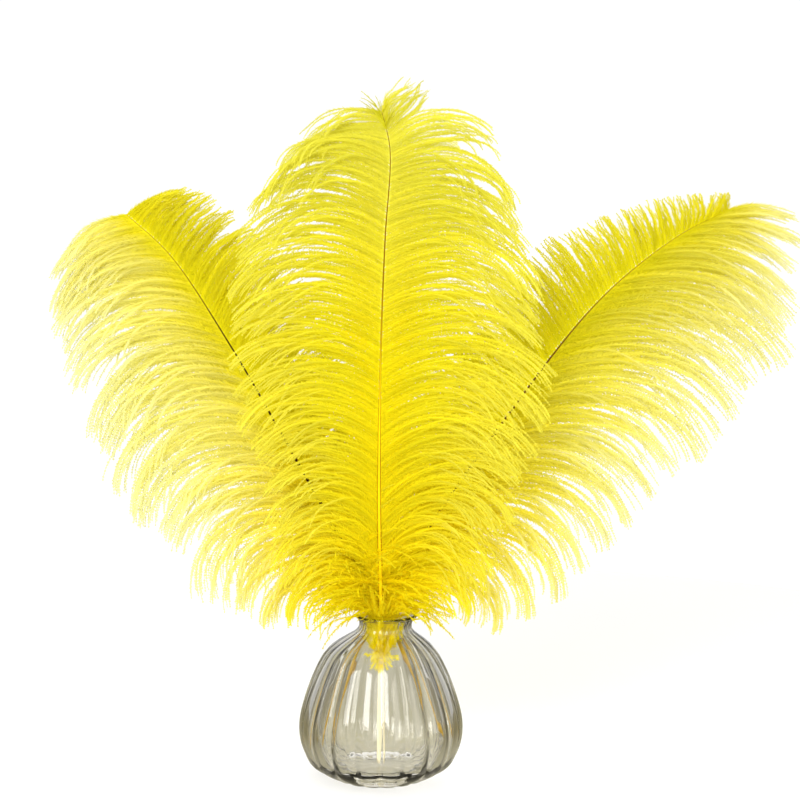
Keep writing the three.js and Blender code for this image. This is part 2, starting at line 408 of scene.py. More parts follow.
@dataclass(frozen=True)
class PlumeFinish:
    """The dyed, downy finish of one vane: its colours by place along a barb, partly painted shade and light,
    and how the colour varies.
    """

    name: str
    # deep and pale, with paling, are painted shade by the shaft and painted light towards a barb's end.
    deep: Colour
    mid: Colour
    pale: Colour
    foot: Colour = (1.0, 0.94, 0.02)
    top: Colour = (0.93, 0.915, 0.34)
    paling: float = 0.6
    top_share: float = 0.0
    unevenness: float = 0.2
    see_through: float = 0.5
    roughness: float = 0.75
    gloss: float = 0.12

    def material(self, dye_and_light: bpy.types.NodeTree, barbs: int) -> bpy.types.Material:
        """Makes the material: a soft reflecting shader mixed with one that lets light through.

        Args:
            dye_and_light: the node group of dyed colour with painted shade and light.
            barbs: the count of barbs on the vane.

        Returns:
            The material.
        """
        material, tree, shader, output = new_material(self.name)
        colour = tree.add("ShaderNodeGroup", node_tree=dye_and_light)
        for label in DYE_AND_LIGHT_COLOURS:
            colour.inputs[label].default_value = linear(getattr(self, label.lower()))
        colour.inputs["Barbs"].default_value = barbs
        for label in DYE_AND_LIGHT_SHARES:
            colour.inputs[label].default_value = getattr(self, label.lower())
        tree.link(colour.outputs["Color"], shader.inputs["Base Color"])
        shader.inputs["Roughness"].default_value = self.roughness
        shader.inputs["Specular IOR Level"].default_value = self.gloss
        through = tree.add("ShaderNodeBsdfTranslucent")
        tree.link(colour.outputs["Color"], through.inputs["Color"])
        both = tree.add("ShaderNodeMixShader")
        both.inputs["Fac"].default_value = self.see_through
        tree.link(shader.outputs["BSDF"], both.inputs[1])
        tree.link(through.outputs["BSDF"], both.inputs[2])
        tree.link(both.outputs["Shader"], output.inputs["Surface"])
        return material


@dataclass(frozen=True)
class ShaftFinish:
    """The horn of one shaft: the colours of its front face, edges, tip and quill, and where they change."""

    name: str
    face: Colour
    edge: Colour
    tip: Colour
    quill: Colour
    edge_width: float = 0.15
    tip_from: float = 0.5
    roughness: float = 0.42
    gloss: float = 0.06
    grain: float = 0.14

    def material(self) -> bpy.types.Material:
        """Makes the material.

        The map's first coordinate runs up the shaft, and the second from 0 in front to 0.5 behind.

        Returns:
            The material.
        """
        material, tree, shader, _ = new_material(self.name)
        up, from_front = tree.own_map()
        uneven = tree.math("MULTIPLY", tree.streaks(up, from_front, (18.0, 28.0), 4.0), self.grain)
        edges = tree.ramp(tree.math("ADD", from_front, uneven), self.edge_width * 0.55, self.edge_width)
        colour = tree.mix(edges, linear(self.face), linear(self.edge))
        colour = tree.mix(tree.ramp(up, self.tip_from, self.tip_from + 0.3), colour, linear(self.tip))
        colour = tree.mix(tree.ramp(tree.math("SUBTRACT", 1.0, up), 0.78, 0.86), colour, linear(self.quill))
        tree.link(colour, shader.inputs["Base Color"])
        tree.link(tree.math("ADD", self.roughness, uneven), shader.inputs["Roughness"])
        shader.inputs["Specular IOR Level"].default_value = self.gloss
        return material


@dataclass(frozen=True)
class GlassFinish:
    """Clear glass with a faint warm tint, by its refraction and what it absorbs on the way through."""

    name: str = "Warm_Clear_Glass"
    tint: Colour = (0.9, 0.87, 0.77)
    density: float = 12.0
    ior: float = 1.5
    roughness: float = 0.015
    wave_scale: float = 55.0
    wave_strength: float = 0.25
    wave_depth: float = 0.0012

    def material(self) -> bpy.types.Material:
        """Makes the material: a smooth see-through shader with faint waves, and a volume that absorbs.

        Returns:
            The material.
        """
        material, tree, shader, output = new_material(self.name)
        shader.inputs["Base Color"].default_value = (1.0, 1.0, 1.0, 1.0)
        shader.inputs["Transmission Weight"].default_value = 1.0
        shader.inputs["IOR"].default_value = self.ior
        shader.inputs["Roughness"].default_value = self.roughness
        place = tree.add("ShaderNodeTexCoord")
        wave = tree.add("ShaderNodeTexNoise")
        wave.inputs["Scale"].default_value = self.wave_scale
        wave.inputs["Detail"].default_value = 1.0
        tree.link(place.outputs["Object"], wave.inputs["Vector"])
        bump = tree.add("ShaderNodeBump")
        bump.inputs["Strength"].default_value = self.wave_strength
        bump.inputs["Distance"].default_value = self.wave_depth
        tree.link(wave.outputs[0], bump.inputs["Height"])
        tree.link(bump.outputs["Normal"], shader.inputs["Normal"])
        absorb = tree.add("ShaderNodeVolumeAbsorption")
        absorb.inputs["Color"].default_value = linear(self.tint)
        absorb.inputs["Density"].default_value = self.density
        tree.link(absorb.outputs["Volume"], output.inputs["Volume"])
        return material


# The vase


@dataclass
class BudVase:
    """A round bud vase of ribbed glass on the solid's driving dimensions.

    Its ribs are deeper than the solid's, the inside follows them, and the floor inside is dished. Pairs are a
    radius and a height.
    """

    height: float = 95.0
    foot_radius: float = 28.0
    heel: tuple[float, float] = (43.0, 10.5)
    belly: tuple[float, float] = (47.0, 34.0)
    shoulder: tuple[float, float] = (34.0, 70.0)
    neck: tuple[float, float] = (16.0, 86.0)
    lip_radius: float = 18.0
    wall: float = 3.0
    neck_wall: float = 2.4
    floor: float = 8.0
    floor_dish: float = 4.0
    lip_shift: float = 3.2
    ribs: int = 18
    rib_depth: float = 2.0
    inner_ripple: float = 1.2
    columns_per_rib: int = 8
    outer_steps: int = 64
    inner_steps: int = 56
    lip_steps: int = 8
    foot_rings: int = 6
    floor_rings: int = 12
    finish: GlassFinish = field(default_factory=GlassFinish)

    @staticmethod
    def spline(points: list[tuple[float, float]], steps: int) -> np.ndarray:
        """A uniform Catmull-Rom curve through points, with its end points doubled.

        Args:
            points: radius and height pairs.
            steps: count of stretches over the whole curve.

        Returns:
            One row of radius and height for each place on the curve.
        """
        knots = np.array([points[0], *points, points[-1]], float)
        share = np.linspace(0.0, len(points) - 1.0, steps + 1)
        first = np.minimum(share.astype(int), len(points) - 2)
        t = (share - first)[:, None]
        p0, p1, p2, p3 = (knots[first + i] for i in range(4))
        v0, v1 = 0.5 * (p2 - p0), 0.5 * (p3 - p1)
        return (2 * p1 - 2 * p2 + v0 + v1) * t**3 + (-3 * p1 + 3 * p2 - 2 * v0 - v1) * t**2 + v0 * t + p1

    def section(self) -> tuple[np.ndarray, np.ndarray]:
        """The glass in section, from the foot's middle up the outside, over a round lip and down the inside.

        Returns:
            Radius and height of each place, and how strongly the ribs show there.
        """
        outer = self.spline(
            [
                (self.foot_radius, 0.0),
                self.heel,
                self.belly,
                self.shoulder,
                self.neck,
                (self.lip_radius, self.height),
            ],
            self.outer_steps,
        )
        inner = self.spline(
            [
                (self.lip_radius - self.neck_wall, self.height),
                (self.neck[0] - self.neck_wall, self.neck[1]),
                (self.shoulder[0] - self.wall, self.shoulder[1] - self.wall / 2),
                (self.belly[0] - self.wall, self.belly[1]),
                (self.heel[0] - self.wall, self.heel[1] + self.wall),
                (self.foot_radius, self.floor),
            ],
            self.inner_steps,
        )
        turn = np.linspace(0.0, math.pi, self.lip_steps + 1)
        half = self.neck_wall / 2
        middle = self.lip_radius - half
        lip = np.stack([middle + half * np.cos(turn), self.height - half + half * np.sin(turn)], axis=1)
        outer = outer[outer[:, 1] < self.height - half]
        inner = inner[inner[:, 1] < self.height - half]
        across = np.linspace(0.0, 1.0, self.foot_rings + 1)[:-1, None]
        foot = across * outer[:1]
        foot[:, 1] = 0.0
        to_middle = np.linspace(0.0, 1.0, self.floor_rings + 1)[1:, None]
        bottom = inner[-1:] * (1.0 - to_middle)
        bottom[:, 1:] = self.floor - self.floor_dish * (1.0 - (1.0 - to_middle) ** 2)
        profile = np.concatenate([foot, outer, lip, inner, bottom])
        outside = len(foot) + len(outer) + len(lip)
        show = np.where(np.arange(len(profile)) < outside, 1.0, self.inner_ripple)
        return profile, show

    def build(self) -> bpy.types.Object:
        """Turns the section about Z and presses the ribs in.

        At angle a the radius shrinks by the rib depth times ((1 + cos(ribs * a)) / 2)^2, in proportion to the
        radius, and the ribs fade out from the neck to the lip. The mouth is drawn aside along +X.

        Returns:
            The finished piece.
        """
        profile, show = self.section()
        columns = self.ribs * self.columns_per_rib
        angle = np.arange(columns) * 2.0 * math.pi / columns
        radius, height = profile[:, :1], profile[:, 1:]
        groove = ((1.0 + np.cos(self.ribs * angle)) / 2.0) ** 2
        fade = 1.0 - smoothstep(self.neck[1] - self.wall, self.height, height)
        pressed = radius * (1.0 - self.rib_depth / self.belly[0] * groove * fade * show[:, None])
        shift = self.lip_shift * smoothstep(self.shoulder[1], self.height, height)
        points = np.stack([
            pressed * np.sin(angle) + shift,
            -pressed * np.cos(angle),
            np.broadcast_to(height, pressed.shape),
        ], axis=-1)
        rings = points[1:-1]
        ends = [[0.0, 0.0, 0.0], [0.0, 0.0, self.floor - self.floor_dish]]
        vertices = np.concatenate([rings.reshape(-1, 3), ends])
        faces = tube_faces(len(rings), columns)
        piece = add_piece("glass_bud_vase", vertices, faces, self.finish.material())
        piece.visible_shadow = False
        return settle(piece, "vase")


# The feathers

LOCKS = 20  # on each side of a shaft
LOCK_PARTING = 0.42  # the share of a barb's length where the locks part
LOCK_REACH = 0.07  # how much longer or shorter a lock may be, as a share of its length
LOCK_SWAY = 3.2  # how far a lock's tip strays along the shaft
LOCK_LIFT = 4.0  # how far a lock's tip stands out of the vane
BARB_LIFT = 5.0  # the spread of single barbs' tips out of the vane
BEND_POWER = 1.5  # a barb bends more towards its tip
WISPS_PER_LOCK = 5
WAVE_HEIGHT = 0.6  # of the waves along a barb, at its tip
PATH_STEPS = 200  # from one of a shaft's knots to the next
SHAFT_STEPS = 150
SHAFT_SIDES = 16
SHAFT_RADIUS = 1.55  # at the lowest down
SHAFT_WAIST_RADIUS = SHAFT_RADIUS * 0.34  # halfway up the vanes
SHAFT_TIP_RADIUS = 0.16
QUILL_TIP_RADIUS = 1.1
QUILL_END_RADIUS = QUILL_TIP_RADIUS * 0.55  # where the quill's tip is rounded off
GROOVE_DEPTH = 0.28  # of the groove down a shaft's back, as a share of its radius
GROOVE_WIDTH = 0.09  # as a share of the way round
RIBBON_HALF = 0.17  # half a barb's width
RIBBON_ROOT = 0.14  # what the root by the shaft adds to it
BARBULE_SLANT = 31.0  # degrees from the barb's own direction
BARBULE_SLANT_SPREAD = 7.0
NECK_BORE = 12.4  # barbs in the vase's neck are kept this close to its axis
NECK_FROM = 74.0  # the height where that starts
NECK_CLEARANCE = 6.0  # the height above the lip where it ends
SEED = 41


class Frames(NamedTuple):
    """Places on a shaft with the directions along it, to its right and forward, one row each."""

    point: np.ndarray
    along: np.ndarray
    right: np.ndarray
    front: np.ndarray


class Lines(NamedTuple):
    """Barbs as lines: points (barb, station, xyz), each barb's front, and each station's share."""

    points: np.ndarray
    front: np.ndarray
    share: np.ndarray


@dataclass(frozen=True)
class Vane:
    """One side of a feather.

    Each row holds a place along the shaft, and the barbs' length, start angle and bend there, in degrees.
    """

    side: Side
    cup: float
    rows: Rows
    finish: PlumeFinish
    barbs: int = 540
    stations: int = 70
    barbule: float = 2.9
    roll: float = 15.0
    gather: float = 0.7
    looseness: float = 1.0


@dataclass(frozen=True)
class Tuft:
    """Loose barbs that leave a stretch of shaft all round it: down at a feather's foot, or wisps at its tip.

    Each pair is the least and the greatest value, and angles are degrees. A barb's way round the shaft is 0
    to the right, 90 in front and 180 to the left.
    """

    name: str
    finish: PlumeFinish
    count: int
    places: tuple[float, float]
    lengths: tuple[float, float]
    starts: tuple[float, float]
    bends: tuple[float, float]
    around: tuple[float, float] = (0.0, 360.0)
    stations: int = 30
    barbule: float = 3.6
    roll: float = 40.0


def keep_in_neck(points: np.ndarray, vase: BudVase) -> np.ndarray:
    """Draws whatever passes through the vase's neck in to its bore.

    A point within reach of the mouth's axis and further from it than the bore moves straight towards the
    axis. The bore opens out above the lip.

    Args:
        points: barb points, the last axis x, y and z.
        vase: the vase.

    Returns:
        The points, with those in the neck moved.
    """
    height = points[..., 2]
    axis = np.zeros_like(points)
    axis[..., 0] = vase.lip_shift * smoothstep(vase.shoulder[1], vase.height, height)
    axis[..., 2] = height
    offset = points - axis
    reach = np.linalg.norm(offset, axis=-1)
    mouth = vase.height + NECK_CLEARANCE
    bore = NECK_BORE + vase.lip_radius * 0.5 * smoothstep(vase.height, mouth, height)
    beside = (reach > bore) & (reach < vase.lip_radius + 2.0)
    caught = (height > NECK_FROM) & (height < mouth) & beside
    return np.where(caught[..., None], axis + offset * (bore / np.maximum(reach, bore))[..., None], points)


@dataclass
class Feather:
    """An ostrich feather: a shaft through knots, and two vanes of barbs that hang together in locks."""

    vase: BudVase
    name: str
    number: int
    knots: tuple[Point, ...]
    quill: float
    facing: Point
    vanes: tuple[Vane, ...]
    tufts: tuple[Tuft, ...]
    horn: ShaftFinish
    path: np.ndarray = field(init=False)
    travelled: np.ndarray = field(init=False)

    def __post_init__(self) -> None:
        """Works out the shaft's path: a centripetal Catmull-Rom curve through the knots, at close steps."""
        knots = np.array(self.knots, float)
        ends = np.stack([2 * knots[0] - knots[1], 2 * knots[-1] - knots[-2]])
        full = np.concatenate([ends[:1], knots, ends[1:]])
        gaps = np.sqrt(np.linalg.norm(np.diff(full, axis=0), axis=1))[:, None]
        p0, p1, p2, p3 = full[:-3], full[1:-2], full[2:-1], full[3:]
        d0, d1, d2 = gaps[:-2], gaps[1:-1], gaps[2:]
        v1 = d1 * ((p1 - p0) / d0 - (p2 - p0) / (d0 + d1) + (p2 - p1) / d1)
        v2 = d1 * ((p2 - p1) / d1 - (p3 - p1) / (d1 + d2) + (p3 - p2) / d2)
        t = np.linspace(0.0, 1.0, PATH_STEPS, endpoint=False)[None, :, None]
        cubic = 2 * p1 - 2 * p2 + v1 + v2
        square = -3 * p1 + 3 * p2 - 2 * v1 - v2
        curve = ((cubic[:, None] * t + square[:, None]) * t + v1[:, None]) * t + p1[:, None]
        self.path = np.concatenate([curve.reshape(-1, 3), knots[-1:]])
        steps = np.linalg.norm(np.diff(self.path, axis=0), axis=1)
        self.travelled = np.concatenate([[0.0], np.cumsum(steps)])

    def frames_at(self, distance: np.ndarray) -> Frames:
        """Places on the shaft by distance from the quill's tip.

        Args:
            distance: millimetres along the shaft.

        Returns:
            One frame for each distance.
        """

        def on_path(d: np.ndarray) -> np.ndarray:
            """The point at each distance, by straight lines between the path's close steps."""
            return np.stack([np.interp(d, self.travelled, self.path[:, i]) for i in range(3)], axis=-1)

        whole = self.travelled[-1]
        distance = np.clip(distance, 0.0, whole)
        reach = 0.5
        before, after = np.maximum(distance - reach, 0.0), np.minimum(distance + reach, whole)
        along = unit(on_path(after) - on_path(before))
        front = np.array(self.facing, float)
        front = unit(front - along * (along @ front)[..., None])
        return Frames(on_path(distance), along, np.cross(along, front), front)

    def frames(self, place: np.ndarray) -> Frames:
        """Frames by place along the vanes, from 0 at the lowest down to 1 at the tip."""
        return self.frames_at(self.quill + place * (self.travelled[-1] - self.quill))

    def courses(
        self, vane: Vane, place: np.ndarray, share: np.ndarray, scale: np.ndarray, turn: np.ndarray
    ) -> tuple[np.ndarray, np.ndarray]:
        """Barbs as the smooth vane has them.

        A barb leaves the shaft at its start angle and turns away from the feather's tip by its bend angle
        times its share to a power. Its points are the integral of that direction, and it cups forward with
        the share squared.

        Args:
            vane: the side.
            place: each barb's place along the shaft.
            share: the stations along a barb, from 0 to 1.
            scale: each barb's length as a share of the row's.
            turn: degrees added to each barb's bend.

        Returns:
            Points and directions.
        """
        rows = np.array(vane.rows, float)
        length, start, bend = (np.interp(place, rows[:, 0], rows[:, i]) for i in (1, 2, 3))
        length = length * scale
        angle = np.radians(start[:, None] + (bend + turn)[:, None] * share[None, :] ** BEND_POWER)
        step = share[1] - share[0]
        forwards = running_sum(np.cos(angle), step) * length[:, None]
        outwards = running_sum(np.sin(angle), step) * length[:, None] * vane.side.value
        frames = self.frames(place)
        cup = vane.cup * share**2
        points = (
            frames.point[:, None]
            + frames.along[:, None] * forwards[..., None]
            + frames.right[:, None] * outwards[..., None]
            + frames.front[:, None] * cup[None, :, None]
        )
        ways = (
            frames.along[:, None] * np.cos(angle)[..., None]
            + frames.right[:, None] * (np.sin(angle) * vane.side.value)[..., None]
        )
        return points, ways

    def lock_drift(self, vane: Vane, lock: np.ndarray, share: np.ndarray, ways: np.ndarray) -> np.ndarray:
        """How far each barb's lock has strayed from the smooth vane, as in the solids.

        Args:
            vane: the side.
            lock: each barb's lock number.
            share: the stations.
            ways: each barb's directions.

        Returns:
            Offsets (barb, station, xyz).
        """
        seed = 300 * self.number + (100 if vane.side is Side.LEFT else 200) + lock
        middle = self.frames((lock + 0.5) / LOCKS)
        rows = np.array(vane.rows, float)
        length = np.interp((lock + 0.5) / LOCKS, rows[:, 0], rows[:, 1])
        loose = vane.looseness * smoothstep(LOCK_PARTING, 1.0, share)[None, :, None]
        return loose * (
            ways * (LOCK_REACH * length * stray(seed))[:, None, None]
            + (middle.along * (LOCK_SWAY * stray(seed + 1000))[:, None])[:, None]
            + (middle.front * (LOCK_LIFT * stray(seed + 2000))[:, None])[:, None]
        )

    def barb_lines(self, vane: Vane, rng: np.random.Generator) -> Lines:
        """Every barb of a vane, gathered into wisps and locks, with its own length, bend, lift and waves.

        Args:
            vane: the side.
            rng: the source of random numbers.

        Returns:
            The barbs' lines.
        """
        count = vane.barbs
        share = np.linspace(0.0, 1.0, vane.stations)
        place = (np.arange(count) + rng.uniform(0.15, 0.85, count)) / count
        scale = 1.05 - 0.42 * rng.random(count) ** 2.4
        turn = rng.normal(0.0, 7.0, count)
        own, ways = self.courses(vane, place, share, scale, turn)
        lock = np.minimum((place * LOCKS).astype(int), LOCKS - 1)
        wisp = np.floor(place * LOCKS * WISPS_PER_LOCK)
        in_wisp, _ = self.courses(vane, (wisp + 0.5) / (LOCKS * WISPS_PER_LOCK), share, scale, turn * 0.3)
        in_lock, _ = self.courses(vane, (lock + 0.5) / LOCKS, share, scale, turn * 0.6)
        wisp_pull = rng.uniform(0.1, 0.55, count)[:, None] * smoothstep(0.05, 0.5, share)[None, :]
        lock_pull = vane.gather * rng.uniform(0.6, 1.2, count)[:, None] * smoothstep(0.3, 1.0, share)[None, :]
        points = own + (in_wisp - own) * wisp_pull[..., None]
        points = points + (in_lock - points) * np.clip(lock_pull, 0.0, 0.97)[..., None]
        points = points + self.lock_drift(vane, lock, share, ways)
        frames = self.frames(place)
        lift = rng.normal(0.0, BARB_LIFT, count)[:, None] * share[None, :] ** 1.3
        phase = rng.uniform(0.0, 2.0 * math.pi, (2, count, 1))
        waves = rng.uniform(1.2, 2.8, (2, count, 1))
        sway, roll = WAVE_HEIGHT * share**1.2 * np.sin(2.0 * math.pi * waves * share + phase)
        points = points + frames.front[:, None] * (lift + roll)[..., None]
        points = points + frames.along[:, None] * sway[..., None]
        return Lines(points, frames.front, share)

    def tuft_lines(self, tuft: Tuft, rng: np.random.Generator) -> Lines:
        """Loose barbs. Each one bends as a vane's barb does, in a plane of its own through the shaft.

        Args:
            tuft: what they are like.
            rng: the source of random numbers.

        Returns:
            The barbs' lines.
        """
        share = np.linspace(0.0, 1.0, tuft.stations)
        place, length, start, bend, around = (
            rng.uniform(*pair, tuft.count)
            for pair in (tuft.places, tuft.lengths, tuft.starts, tuft.bends, tuft.around)
        )
        place = np.sort(place)
        frames = self.frames(place)
        turn = np.radians(around)[:, None]
        outward = frames.right * np.cos(turn) + frames.front * np.sin(turn)
        angle = np.radians(start[:, None] + bend[:, None] * share[None, :] ** BEND_POWER)
        forwards = running_sum(np.cos(angle), share[1]) * length[:, None]
        outwards = running_sum(np.sin(angle), share[1]) * length[:, None]
        points = (
            frames.point[:, None]
            + frames.along[:, None] * forwards[..., None]
            + outward[:, None] * outwards[..., None]
        )
        return Lines(points, unit(frames.front + 0.4 * outward), share)

    def dress(
        self,
        name: str,
        kind: Vane | Tuft,
        lines: Lines,
        material: bpy.types.Material,
        rng: np.random.Generator,
    ) -> bpy.types.Object:
        """Makes one piece of barbs.

        Args:
            name: the piece's name.
            kind: the vane or tuft, for its barbules.
            lines: the barbs.
            material: the finish.
            rng: the source of random numbers.

        Returns:
            The finished piece.
        """
        lines = lines._replace(points=keep_in_neck(lines.points, self.vase))
        vertices, faces, uv, normals = fringed_barbs(lines, kind.barbule, kind.roll, rng)
        piece = add_piece(f"{self.name}_{name}", vertices, faces, material, uv, normals)
        return settle(piece, self.name)

    def build_shaft(self) -> bpy.types.Object:
        """A tapering round tube along the shaft with a shallow groove down its back, closed at both ends.

        Returns:
            The finished piece.
        """
        whole = self.travelled[-1]
        distance = np.linspace(0.0, whole, SHAFT_STEPS)
        frames = self.frames_at(distance)
        radius = np.interp(
            distance,
            [0.0, self.quill * 0.06, self.quill, self.quill * 0.5 + whole * 0.5, whole],
            [QUILL_END_RADIUS, QUILL_TIP_RADIUS, SHAFT_RADIUS, SHAFT_WAIST_RADIUS, SHAFT_TIP_RADIUS],
        )
        around = np.arange(SHAFT_SIDES) / SHAFT_SIDES
        turn = 2.0 * math.pi * around
        groove = 1.0 - GROOVE_DEPTH * np.exp(-((np.minimum(around, 1.0 - around) / GROOVE_WIDTH) ** 2))
        across = frames.right[:, None] * np.sin(turn)[None, :, None]
        outward = frames.front[:, None] * (-np.cos(turn) * groove)[None, :, None]
        points = frames.point[:, None] + radius[:, None, None] * (across + outward)
        vertices = np.concatenate([points.reshape(-1, 3), frames.point[[0, -1]]])
        faces = tube_faces(SHAFT_STEPS, SHAFT_SIDES)[:, [0, 2, 1]]
        from_front = np.abs(around - 0.5)
        uv = np.stack(np.broadcast_arrays((distance / whole)[:, None], from_front[None, :]), axis=-1)
        uv = np.concatenate([uv.reshape(-1, 2), [[0.0, 0.25], [1.0, 0.25]]])
        piece = add_piece(f"{self.name}_shaft", vertices, faces, self.horn.material(), uv)
        return settle(piece, self.name)

    def build(self, dye_and_light: bpy.types.NodeTree) -> None:
        """Builds the shaft, both vanes and every tuft.

        Args:
            dye_and_light: the node group of dyed colour with painted shade and light.
        """
        rng = np.random.default_rng(SEED + self.number)
        self.build_shaft()
        for vane in self.vanes:
            material = vane.finish.material(dye_and_light, vane.barbs)
            self.dress(f"{vane.side.name.lower()}_vane", vane, self.barb_lines(vane, rng), material, rng)
        for tuft in self.tufts:
            material = tuft.finish.material(dye_and_light, tuft.count)
            self.dress(tuft.name, tuft, self.tuft_lines(tuft, rng), material, rng)


def fringed_barbs(
    lines: Lines, barbule: float, roll_spread: float, rng: np.random.Generator
) -> tuple[np.ndarray, np.ndarray, np.ndarray, np.ndarray]:
    """Barbs as narrow ribbons with a fine barbule to each side at every station.

    A ribbon has a left and a right edge about the line, wide at the shaft and narrowing to its end. A
    barbule is one thin triangle that stands on an edge between two stations and points sideways and forwards,
    rolled a little out of the vane. Shading normals lean from the vane's front towards each edge, so that a
    barb shades as a soft round strand.

    Args:
        lines: the barbs.
        barbule: a barbule's length at the barb's middle.
        roll_spread: how far the barbules roll out of the vane, in degrees.
        rng: the source of random numbers.

    Returns:
        Vertices, triangles, map coordinates and shading normals.
    """
    points, share = lines.points, lines.share
    count, stations = points.shape[:2]
    way = unit(np.gradient(points, axis=1))
    front = lines.front[:, None] - way * np.sum(way * lines.front[:, None], axis=-1, keepdims=True)
    front = unit(front)
    side = np.cross(way, front)
    root = RIBBON_ROOT * (1.0 - smoothstep(0.0, 0.06, share))
    half = (RIBBON_HALF * (1.0 - 0.72 * share) + root)[None, :, None]
    body = (0.7 + 0.3 * smoothstep(0.0, 0.16, share)) * (1.0 - 0.7 * share**2.2)

    def barbule_tips(sign: float) -> np.ndarray:
        """The tips of the barbules on one side of every barb."""
        shape = (count, stations)
        slant = np.radians(rng.normal(BARBULE_SLANT, BARBULE_SLANT_SPREAD, shape))
        roll = np.radians(rng.normal(0.0, roll_spread, shape))
        length = barbule * body * rng.uniform(0.6, 1.25, shape)
        spread = side * (sign * np.cos(roll))[..., None] + front * np.sin(roll)[..., None]
        onward = way * np.cos(slant)[..., None] + spread * np.sin(slant)[..., None]
        return points + length[..., None] * onward

    groups = [points - side * half, points + side * half, barbule_tips(-1.0), barbule_tips(1.0)]
    leans = [-0.6, 0.6, -0.3, 0.3]
    vertices = np.stack(groups, axis=1)
    normals = np.stack([unit(front + side * lean) for lean in leans], axis=1)
    row = (np.arange(count)[:, None] + np.array([0.3, 0.7, 0.1, 0.9])[None, :]) / count
    uv = np.stack(np.broadcast_arrays(share[None, None, :], row[:, :, None]), axis=-1)

    index = np.arange(count * 4 * stations).reshape(count, 4, stations)
    left, right, left_tip, right_tip = (index[:, i] for i in range(4))
    corners = (
        (left[:, :-1], right[:, :-1], right[:, 1:]),
        (left[:, :-1], right[:, 1:], left[:, 1:]),
        (left[:, 1:-1], left[:, 2:], left_tip[:, 1:-1]),
        (right[:, 1:-1], right[:, 2:], right_tip[:, 1:-1]),
    )
    faces = np.concatenate([np.stack(three, axis=-1).reshape(-1, 3) for three in corners])
    vertices, normals = vertices.reshape(-1, 3), normals.reshape(-1, 3)
    corner = vertices[faces]
    facing = np.cross(corner[:, 1] - corner[:, 0], corner[:, 2] - corner[:, 0])
    away = np.sum(facing * normals[faces[:, 0]], axis=1) < 0.0
    faces[away] = faces[away][:, ::-1]
    used = np.zeros(len(vertices), dtype=bool)
    used[faces] = True
    renumber = np.cumsum(used) - 1
    return vertices[used], renumber[faces], uv.reshape(-1, 2)[used], normals[used]


# The arrangement's own values

LEMON = PlumeFinish(
    "Lemon_Barbs", deep=(0.97, 0.92, 0.04), mid=(0.97, 0.935, 0.13), pale=(0.98, 0.955, 0.42), top_share=0.8
)
# A paler copy of the lemon finish: painted light on the left feather's long outer barbs, as if lit from
# behind.
LEMON_PAINTED_BACKLIGHT = PlumeFinish(
    "Lemon_Barbs_Painted_Backlight", deep=(0.97, 0.935, 0.14), mid=(0.98, 0.955, 0.5), pale=(0.99, 0.98, 0.76), paling=0.8
)
# Another paler copy: painted light on the right feather's long hanging barbs, as if lit from behind.
LEMON_PAINTED_SOFT_BACKLIGHT = PlumeFinish(
    "Lemon_Barbs_Painted_Soft_Backlight", deep=(0.95, 0.915, 0.1), mid=(0.96, 0.93, 0.32), pale=(0.99, 0.975, 0.74), paling=0.8
)
# A darker copy of the lemon finish: painted shade on the short inner vanes, which sit behind and in shadow.
LEMON_PAINTED_SHADE = PlumeFinish(
    "Lemon_Barbs_Painted_Shade",
    deep=(0.95, 0.915, 0.08),
    mid=(0.94, 0.905, 0.13),
    pale=(0.92, 0.885, 0.24),
    paling=0.5,
)
TIP_LEMON = PlumeFinish(
    "Tip_Lemon_Barbs",
    deep=(0.88, 0.86, 0.14),
    mid=(0.87, 0.85, 0.18),
    pale=(0.9, 0.88, 0.36),
    foot=(0.88, 0.86, 0.14),
)
GOLDEN_DOWN = PlumeFinish(
    "Golden_Down",
    deep=(1.0, 0.93, 0.02),
    mid=(1.0, 0.94, 0.03),
    pale=(1.0, 0.95, 0.15),
    foot=(1.0, 0.925, 0.02),
    see_through=0.58,
)

BRIGHT_HORN = ShaftFinish(
    "Bright_Horn",
    face=(0.98, 0.85, 0.03),
    edge=(0.7, 0.4, 0.02),
    tip=(0.54, 0.38, 0.02),
    quill=(0.9, 0.86, 0.72),
)
DARK_HORN = ShaftFinish(
    "Dark_Horn",
    face=(0.2, 0.12, 0.03),
    edge=(0.34, 0.22, 0.04),
    tip=(0.74, 0.62, 0.05),
    quill=(0.66, 0.53, 0.16),
    tip_from=0.7,
)
BROWN_HORN = ShaftFinish(
    "Brown_Horn",
    face=(0.42, 0.29, 0.05),
    edge=(0.5, 0.36, 0.05),
    tip=(0.72, 0.62, 0.06),
    quill=(0.66, 0.53, 0.16),
    tip_from=0.62,
)

SIDE_DOWN = Tuft("foot_down", GOLDEN_DOWN, 80, (0.0, 0.1), (22, 48), (24, 60), (50, 120), stations=40)


